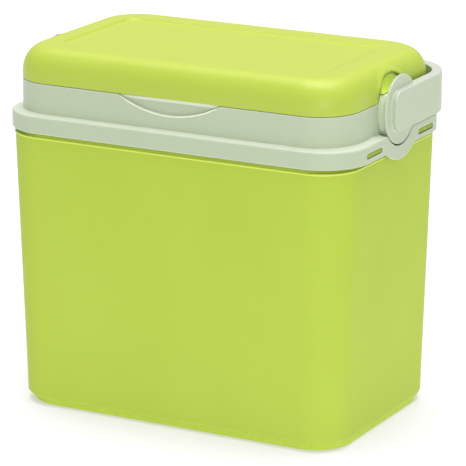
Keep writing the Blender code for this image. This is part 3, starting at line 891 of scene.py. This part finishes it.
def panel_step(steps=16):
    """Levels of the soft S-shaped slope down into the lid's sunk panel."""
    levels = []
    for step in range(steps + 1):
        share = step / steps
        drop = PANEL_DEPTH * (1 - math.cos(math.pi * share)) / 2
        levels.append((grow(LID_PANEL, PANEL_SLOPE * (1 - 2 * share)), LID_TOP_Z - drop))
    return levels


def ease_panel(cover):
    """Spread the panel's front and right slopes, which are gentler than the other two."""
    edge_x, edge_y = LID_PANEL[0] + PANEL_SLOPE, LID_PANEL[1] + PANEL_SLOPE
    below_z = LID_TOP_Z - PANEL_DEPTH - PANEL_SLACK
    for vertex in cover.data.vertices:
        x, y, z = vertex.co
        if not below_z <= z <= LID_TOP_Z or abs(x) > edge_x or abs(y) > edge_y:
            continue
        drop = min(1.0, (LID_TOP_Z - z) / PANEL_DEPTH)
        share = math.acos(1 - 2 * drop) / math.pi
        vertex.co.x -= PANEL_EASE[0] * share * max(0.0, x / LID_PANEL[0])
        vertex.co.y += PANEL_EASE[1] * share * max(0.0, -y / LID_PANEL[1])


def raise_arches(cover):
    """Swell the crown into a soft rim over each pocket."""
    for vertex in cover.data.vertices:
        x, y, z = vertex.co
        if abs(x) < ARCH_RIM_START_X or z < LID_CURVE_Z:
            continue
        offset = math.hypot(y, z - PIVOT_Z) - (POCKET_RADIUS + ARCH_RIM_OFFSET * ARCH_RIM_WIDTH)
        reach = (ARCH_RIM_OUTSIDE if offset > 0 else ARCH_RIM_INSIDE) * ARCH_RIM_WIDTH
        share = max(0.0, 1 - abs(offset) / reach)
        fade = min(1.0, (z - LID_CURVE_Z) / ARCH_RIM_FADE)
        swell = ARCH_RIM_RISE * fade * share * share * (3 - 2 * share)
        vertex.co.x += math.copysign(swell, x)
        vertex.co.z += ARCH_RIM_LIFT * swell


def lid_cover():
    """Lime cap: crowned edge, sunk panel, and an arched pocket at each end."""
    edge = rounded([
        (1.2 * MM, lid_low.z, 0),
        (0.0, lid_low.z, LID_LOWER_EDGE),
        (0.0, LID_CURVE_Z, 0),
    ])
    levels = [(grow(BAND, -inset), z) for inset, z in edge]
    levels += crown(BAND, LID_CROWN, LID_CURVE_Z, LID_TOP_Z, steps=LID_CROWN_STEPS)
    levels += panel_step()
    cover = skin("lid_moulding", levels, end_steps=LID_END_STEPS)
    ease_panel(cover)
    raise_arches(cover)

    inner = grow(BAND, -LID_WALL)
    inner_top = grow(LID_CROWN, -CAVITY_TOP_INSET)
    cavity_top_z = LID_TOP_Z - PANEL_DEPTH - LID_TOP_WALL
    cavity_levels = [(inner, lid_low.z - CAVITY_BELOW), (inner, LID_CURVE_Z)]
    cavity_levels += crown(inner, inner_top, LID_CURVE_Z, cavity_top_z)
    cavity = skin("cavity", cavity_levels)
    wall = circle(POCKET_RADIUS + LID_WALL)
    combine(cavity, end_prisms("wall", wall, POCKET_FLOOR_X - LID_WALL, FAR), "DIFFERENCE")
    pockets = end_prisms("pocket", circle(POCKET_RADIUS), POCKET_FLOOR_X, FAR)
    combine(cover, [cavity] + pockets, "DIFFERENCE")
    tidy(cover)
    return soften(cover, MOULD_EDGE)


def boss_fillers():
    """Strips of the lid that close the pocket's foot against both sides of each boss."""
    front_x = BAND[0] - FILLER_SETBACK
    strips = end_prisms("boss_filler", circle(POCKET_RADIUS), LUG_BACK_X, front_x)
    for strip in strips:
        cutters = [prism("gap", circle(BOSS_RADIUS + FILLER_GAP), "X", -FAR, FAR)]
        for name, low_z, high_z in (("below", 0.0, lid_low.z), ("above", BOSS_TOP_Z, 1.0)):
            outline = [(-FAR, low_z), (FAR, low_z), (FAR, high_z), (-FAR, high_z)]
            cutters.append(prism(name, outline, "X", -FAR, FAR))
        combine(strip, cutters, "DIFFERENCE")
        tidy(strip)
    return strips


def lid_lugs():
    """The lid's lug over each boss, hollowed by a cove that runs up to the pocket."""
    low_z = BOSS_TOP_Z + FIT_GAP
    lip_z = low_z + LUG_LIP
    cove_reach = LUG_OUTER_X - LUG_FACE_X
    cove = []
    for x, z in arc((0.0, 0.0), 1.0, 0, 90, 24):
        depth = (1 - LUG_COVE_FLATNESS) * z + LUG_COVE_FLATNESS * (1 - x)
        cove.append((LUG_OUTER_X - cove_reach * x, lip_z + LUG_COVE * (1 - depth)))
    points = [(LUG_BACK_X, low_z), (LUG_BACK_X, lip_z + LUG_COVE)] + cove + [(LUG_OUTER_X, low_z)]
    rounds = end_prisms("lug_round", circle(LUG_RADIUS), LUG_ROUND_X, FAR)
    lugs = []
    for side, sign, rounded_end in zip(("right", "left"), (1, -1), rounds):
        outline = [(sign * x, z) for x, z in points]
        lug = prism(f"lid_lug_{side}", outline, "Y", -LUG_RADIUS, LUG_RADIUS)
        combine(lug, [rounded_end], "INTERSECT")
        tidy(lug)
        lugs.append(soften(lug, LUG_EDGE))
    return lugs


def lid_pan():
    """Pale pan: the flange inside the cover's edge and the plug that fills the mouth."""
    plug = grow(LINER_TOP, -PLUG_GAP)
    plug_inner = grow(plug, -PLUG_WALL)
    flange = grow(BAND, -(LID_WALL + FIT_GAP))
    flange_under_z = pan_high.z - FLANGE_HEIGHT
    levels = fillet_up(plug, pan_low.z, PLUG_FILLET)
    levels += [
        (plug, flange_under_z),
        (flange, flange_under_z),
        (flange, pan_high.z),
        (plug_inner, pan_high.z),
    ]
    levels += reversed(fillet_up(plug_inner, pan_low.z + PLUG_WALL, PLUG_INNER_FILLET))
    pan = skin("lid_pan_moulding", levels)
    wall = circle(POCKET_RADIUS + LID_WALL + FIT_GAP)
    start_x = POCKET_FLOOR_X - LID_WALL - FIT_GAP
    return combine(pan, end_prisms("wall", wall, start_x, FAR), "DIFFERENCE")


# ---- handle ---------------------------------------------------------------------------

def bail_path(side_x):
    """One face of the bail seen from above, from the left arm's end to the right arm's."""
    radius = side_x - BAIL_CENTRE[0]
    left = arc((-BAIL_CENTRE[0], BAIL_CENTRE[1]), radius, 180, 90, CORNER_STEPS)
    right = arc(BAIL_CENTRE, radius, 90, 0, CORNER_STEPS)
    return [(-side_x, ARM_END_Y)] + left + right + [(side_x, ARM_END_Y)]


def arm_ends():
    """Keeps only what is behind the arms' rounded front ends."""
    centre_y = ARM_END_Y + ARM_END_RADIUS
    outline = [(FAR, ARM_LOW_Z), (FAR, ARM_HIGH_Z)]
    outline += arc((centre_y, ARM_HIGH_Z - ARM_END_RADIUS), ARM_END_RADIUS, 90, 180, 16)
    outline += arc((centre_y, ARM_LOW_Z + ARM_END_RADIUS), ARM_END_RADIUS, 180, 270, 16)
    return prism("arm_ends", outline, "X", -FAR, FAR)


def carry_handle():
    """Sage bail with a disc on each end that turns on the collar's stub."""
    outline = bail_path(ARM_OUTER_X) + list(reversed(bail_path(ARM_INNER_X)))
    bail = prism("handle_moulding", outline, "Z", ARM_LOW_Z - ARM_TRIM, ARM_HIGH_Z + ARM_TRIM)
    combine(bail, [arm_ends()], "INTERSECT")
    reliefs = end_prisms("relief", circle(RELIEF_RADIUS), BAND[0], RELIEF_END_X)
    combine(bail, reliefs, "DIFFERENCE")
    combine(bail, end_prisms("disc", circle(DISC_RADIUS), DISC_INNER_X, DISC_OUTER_X), "UNION")
    bores = end_prisms("bore", circle(STUB_RADIUS + FIT_GAP), BAND[0], STUB_END_X + FIT_GAP)
    combine(bail, bores, "DIFFERENCE")
    tidy(bail)
    return soften(bail, HANDLE_EDGE, segments=4)


# ---- surroundings ---------------------------------------------------------------------

def link_new(name, data):
    """A new object for some data, linked into the scene."""
    thing = bpy.data.objects.new(name, data)
    bpy.context.scene.collection.objects.link(thing)
    return thing


def light_table():
    """Plain pale floor that glows a little, so that the shadow on it stays soft."""
    side, front, back = TABLE_SIDE, TABLE_FRONT, TABLE_BACK
    outline = [(-side, front), (side, front), (side, back), (-side, back)]
    floor = prism("floor", outline, "Z", -TABLE_HEIGHT, 0.0)
    nodes = Nodes("studio_floor")
    clouds = nodes.noise(TABLE_CLOUDS, detail=3)
    nodes.link(nodes.tint(clouds, TABLE_DARK, TABLE_LIGHT), nodes.shader.inputs["Base Color"])
    nodes.shader.inputs["Roughness"].default_value = TABLE_ROUGHNESS
    nodes.shader.inputs["Emission Color"].default_value = TABLE_GLOW_COLOUR
    nodes.shader.inputs["Emission Strength"].default_value = TABLE_GLOW
    nodes.shader.inputs["Specular IOR Level"].default_value = TABLE_GLOSS
    floor.data.materials.append(nodes.material)


def sky():
    """White surroundings, brighter overhead than at the horizon."""
    world = bpy.data.worlds.new("studio")
    world.use_nodes = True
    tree = world.node_tree
    background = tree.nodes["Background"]
    background.inputs["Color"].default_value = (1.0, 1.0, 1.0, 1.0)
    place = tree.nodes.new("ShaderNodeTexCoord")
    split = tree.nodes.new("ShaderNodeSeparateXYZ")
    fade = tree.nodes.new("ShaderNodeMapRange")
    fade.interpolation_type = "SMOOTHSTEP"
    fade.inputs["From Min"].default_value = 0.0
    fade.inputs["From Max"].default_value = SKY_FADE_TOP
    fade.inputs["To Min"].default_value = HORIZON
    fade.inputs["To Max"].default_value = ZENITH
    tree.links.new(place.outputs["Generated"], split.inputs["Vector"])
    tree.links.new(split.outputs["Z"], fade.inputs["Value"])
    tree.links.new(fade.outputs["Result"], background.inputs["Strength"])
    bpy.context.scene.world = world


def lamps():
    """A broad soft light from above, and a fill from the front right."""
    fill = bpy.data.lights.new("fill", "AREA")
    fill.shape = "DISK"
    fill.size = FILL_SIZE
    fill.energy = FILL_POWER
    lamp = link_new("fill", fill)
    lamp.location = FILL_PLACE
    aim = Vector(FILL_AIM) - Vector(FILL_PLACE)
    lamp.rotation_euler = aim.to_track_quat("-Z", "Y").to_euler()

    skylight = bpy.data.lights.new("skylight", "SUN")
    skylight.energy = SKYLIGHT
    skylight.angle = SKYLIGHT_SPREAD
    lamp = link_new("skylight", skylight)
    lamp.rotation_euler = Vector(SKYLIGHT_FROM).to_track_quat("Z", "Y").to_euler()


def camera():
    """The view from the front right, slightly above."""
    away = Vector((
        math.sin(CAMERA_AZIMUTH) * math.cos(CAMERA_ELEVATION),
        -math.cos(CAMERA_AZIMUTH) * math.cos(CAMERA_ELEVATION),
        math.sin(CAMERA_ELEVATION),
    ))
    lens = bpy.data.cameras.new("camera")
    lens.sensor_width = CAMERA_SENSOR
    lens.lens = CAMERA_LENS
    lens.clip_end = CAMERA_CLIP_END
    rig = link_new("camera", lens)
    rig.location = Vector(CAMERA_TARGET) + away * CAMERA_DISTANCE
    rig.rotation_euler = (-away).to_track_quat("-Z", "Y").to_euler()
    bpy.context.scene.camera = rig


# ---- assembly -------------------------------------------------------------------------

camera()
bpy.context.scene.view_settings.view_transform = "Standard"

# The body's fade is painted light that lightens it towards the floor; painted_foot_light lightens
# its bottom edge.
lime_body = moulded_plastic(
    "lime_body_plastic", dark=(0.458, 0.599, 0.070), light=(0.518, 0.665, 0.092),
    roughness=0.42, painted_light_colour=(0.50, 0.63, 0.080), edge_highlight=0.2, gloss=0.05, fade=0.7, painted_foot_light=0.7)
# Painted shade: a slightly darker copy of the lime for the lid, toned down to suit how its faces
# are lit.
lime_lid_shaded = moulded_plastic(
    "lime_lid_shaded_plastic", dark=(0.450, 0.578, 0.067), light=(0.470, 0.598, 0.075),
    roughness=0.38, painted_light_colour=(0.505, 0.597, 0.080), edge_highlight=0.15)
# Painted light: a lighter copy of the lime for the lid's lugs and fillers, which sit in shade in
# the pockets.
lime_lug_lit = moulded_plastic(
    "lime_lug_lit_plastic", dark=(0.560, 0.710, 0.078), light=(0.580, 0.730, 0.086),
    roughness=0.38, painted_light_colour=(0.60, 0.74, 0.09), edge_highlight=0.15)
sage = moulded_plastic(
    "sage_plastic", dark=(0.487, 0.572, 0.388), light=(0.502, 0.587, 0.403),
    roughness=0.42, painted_light_colour=(0.67, 0.715, 0.600), edge_highlight=0.8)
# Painted highlight: a much lighter copy of the lime for the shoulder bead, which sits in shade
# under the flange.
lime_bead_lit = moulded_plastic(
    "lime_bead_lit_plastic", dark=(0.640, 0.800, 0.100), light=(0.660, 0.820, 0.110),
    roughness=0.40, painted_light_colour=(0.72, 0.88, 0.13), edge_highlight=0.1)
# Painted light: a slightly lighter copy of the sage for the handle, with a paler, greyer painted
# top light and the strongest painted edge highlight.
sage_handle_lit = moulded_plastic(
    "sage_handle_lit_plastic", dark=(0.500, 0.585, 0.400), light=(0.515, 0.600, 0.415),
    roughness=0.42, painted_light_colour=(0.535, 0.560, 0.500), edge_highlight=1.0)
# Painted light: a lighter copy of the sage for the bosses and stubs, which sit in shade beside the
# disc; on the scallop's lip it is a painted highlight.
sage_boss_lit = moulded_plastic(
    "sage_boss_lit_plastic", dark=(0.600, 0.680, 0.490), light=(0.615, 0.695, 0.505),
    roughness=0.42, painted_light_colour=(0.74, 0.78, 0.67), edge_highlight=0.8)
pale = moulded_plastic(
    "pale_plastic", dark=(0.74, 0.76, 0.70), light=(0.77, 0.79, 0.73),
    roughness=0.40, painted_light_colour=(0.78, 0.80, 0.74), edge_highlight=0.3)
foam = bead_foam("bead_foam")

dress(outer_shell(), lime_body, "tub", "lime_plastic", "outer_shell")
# The bead's lighter lime is a painted highlight.
dress(shoulder_bead(), lime_bead_lit, "tub", "lime_plastic")
for tab in snap_tabs():
    dress(tab, lime_body, "tub", "lime_plastic")
dress(inner_liner(), pale, "tub", "liner_plastic", "inner_liner")
dress(collar(), sage, "tub", "sage_plastic", "collar")
for part in pivot_bosses():
    dress(part, sage_boss_lit, "tub", "sage_plastic")
# The lip's lighter sage paints a highlight along the scallop's lower edge.
dress(scallop_lip(), sage_boss_lit, "tub", "sage_plastic")
dress(lid_cover(), lime_lid_shaded, "lid", "lime_plastic", "lid_cover")
for part in boss_fillers() + lid_lugs():
    dress(part, lime_lug_lit, "lid", "lime_plastic")
dress(lid_pan(), pale, "lid", "liner_plastic", "lid_inner_panel")
dress(carry_handle(), sage_handle_lit, "handle", "sage_plastic", "carry_handle")
for name in ("body_insulation", "lid_insulation"):
    for material_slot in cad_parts[name].material_slots:
        material_slot.material = foam

light_table()
sky()
lamps()
